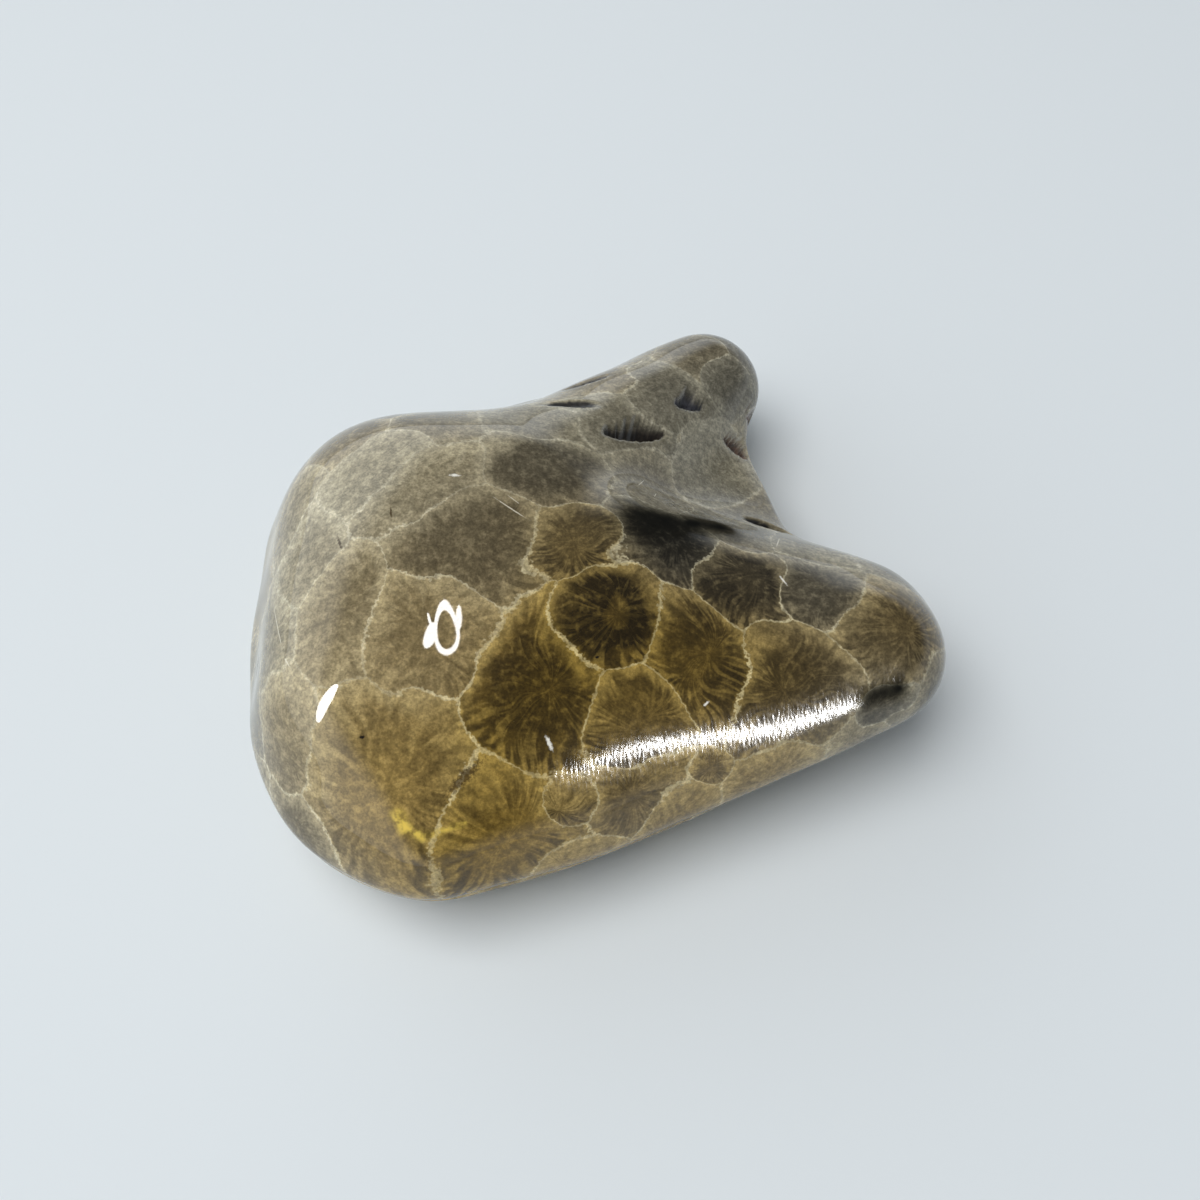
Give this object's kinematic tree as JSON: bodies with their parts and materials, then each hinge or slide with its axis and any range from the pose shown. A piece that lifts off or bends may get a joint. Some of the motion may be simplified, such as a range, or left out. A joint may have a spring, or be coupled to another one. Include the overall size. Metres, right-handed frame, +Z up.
{
  "type": "fossil coral head",
  "caption": "Polished three-lobed freeform stone of fossil colonial coral, with packed polygonal coral cells, weathered slits and a small flat resting face.",
  "frame": {"origin": "middle of the stone's plan box, on the plane that it rests on", "axes": "+X towards the long right arm, +Y towards the narrow back knob, +Z up"},
  "size_m": [0.0596, 0.0568, 0.0235],
  "materials": {
    "polished_coral": "high polish over olive-brown fossil coral with cream cell walls and darker cell centres"
  },
  "bodies": {
    "root": {"fossil_coral_head": "polished_coral"}
  },
  "joints": []
}
